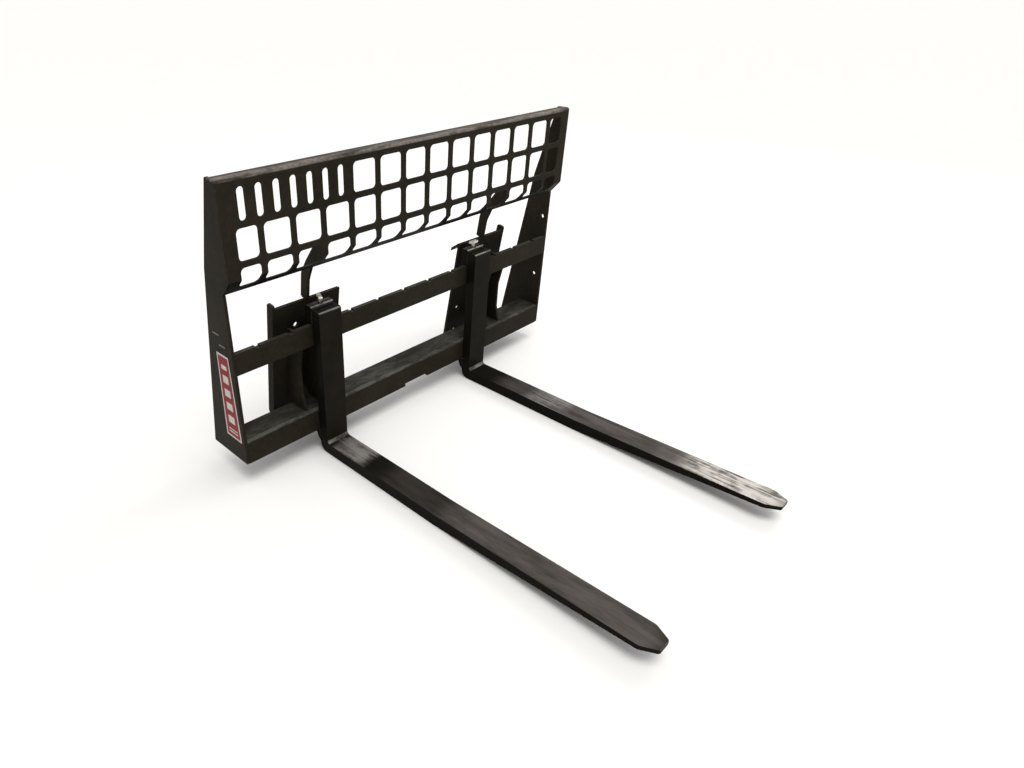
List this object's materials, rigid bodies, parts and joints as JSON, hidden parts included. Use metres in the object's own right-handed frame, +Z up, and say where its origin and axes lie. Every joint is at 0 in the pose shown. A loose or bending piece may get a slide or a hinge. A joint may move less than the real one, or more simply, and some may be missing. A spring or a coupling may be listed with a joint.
{
  "type": "pallet fork attachment",
  "caption": "Pallet fork attachment for a skid steer loader: welded frame with a pierced load guard, sliding forks with spring locks, and coupler plates at the back",
  "frame": {"origin": "on the floor, in the middle of the part's footprint", "axes": "+X to the right of someone facing the guard, -Y the way the forks point, +Z up"},
  "size_m": [1.524, 1.4552, 0.982],
  "materials": {
    "frame_paint": "black semi-gloss enamel, dusty and rubbed thin along the edges",
    "fork_paint": "black semi-gloss enamel, worn to bright steel in patches on the blade tops",
    "zinc_plate": "pale yellowish zinc plating, satin",
    "spring_steel": "dark oiled spring steel"
  },
  "bodies": {
    "frame": {"brick_guard": "frame_paint", "side_plate_left": "frame_paint", "side_plate_right": "frame_paint", "upper_carriage_bar": "frame_paint", "lower_carriage_bar": "frame_paint", "step_plate": "frame_paint", "guard_gusset_left": "frame_paint", "guard_gusset_right": "frame_paint", "coupler_web_left": "frame_paint", "coupler_top_lip_left": "frame_paint", "coupler_pin_plate_left": "frame_paint", "coupler_flange_left": "frame_paint", "coupler_rib_inner_left": "frame_paint", "coupler_rib_outer_left": "frame_paint", "coupler_web_right": "frame_paint", "coupler_top_lip_right": "frame_paint", "coupler_pin_plate_right": "frame_paint", "coupler_flange_right": "frame_paint", "coupler_rib_inner_right": "frame_paint", "coupler_rib_outer_right": "frame_paint"},
    "left_fork": {"fork_arm_left": "fork_paint", "upper_hook_left": "fork_paint", "lower_hook_left": "fork_paint", "lock_bush_left": "fork_paint", "lock_spring_left": "spring_steel"},
    "left_lock": {"lock_pin_left": "zinc_plate", "lock_handle_left": "zinc_plate"},
    "right_fork": {"fork_arm_right": "fork_paint", "upper_hook_right": "fork_paint", "lower_hook_right": "fork_paint", "lock_bush_right": "fork_paint", "lock_spring_right": "spring_steel"},
    "right_lock": {"lock_pin_right": "zinc_plate", "lock_handle_right": "zinc_plate"}
  },
  "joints": [
    {"name": "left_fork_slide", "type": "slide", "parent": "frame", "child": "left_fork", "axis": [1, 0, 0], "range_m": [-0.244, 0.366]},
    {"name": "left_lock_drop", "type": "slide", "parent": "left_fork", "child": "left_lock", "axis": [0, 0, -1], "range_m": [0, 0.0055], "deforming": ["lock_spring_left"]},
    {"name": "right_fork_slide", "type": "slide", "parent": "frame", "child": "right_fork", "axis": [1, 0, 0], "range_m": [-0.244, 0.366]},
    {"name": "right_lock_drop", "type": "slide", "parent": "right_fork", "child": "right_lock", "axis": [0, 0, -1], "range_m": [0, 0.0055], "deforming": ["lock_spring_right"]}
  ]
}
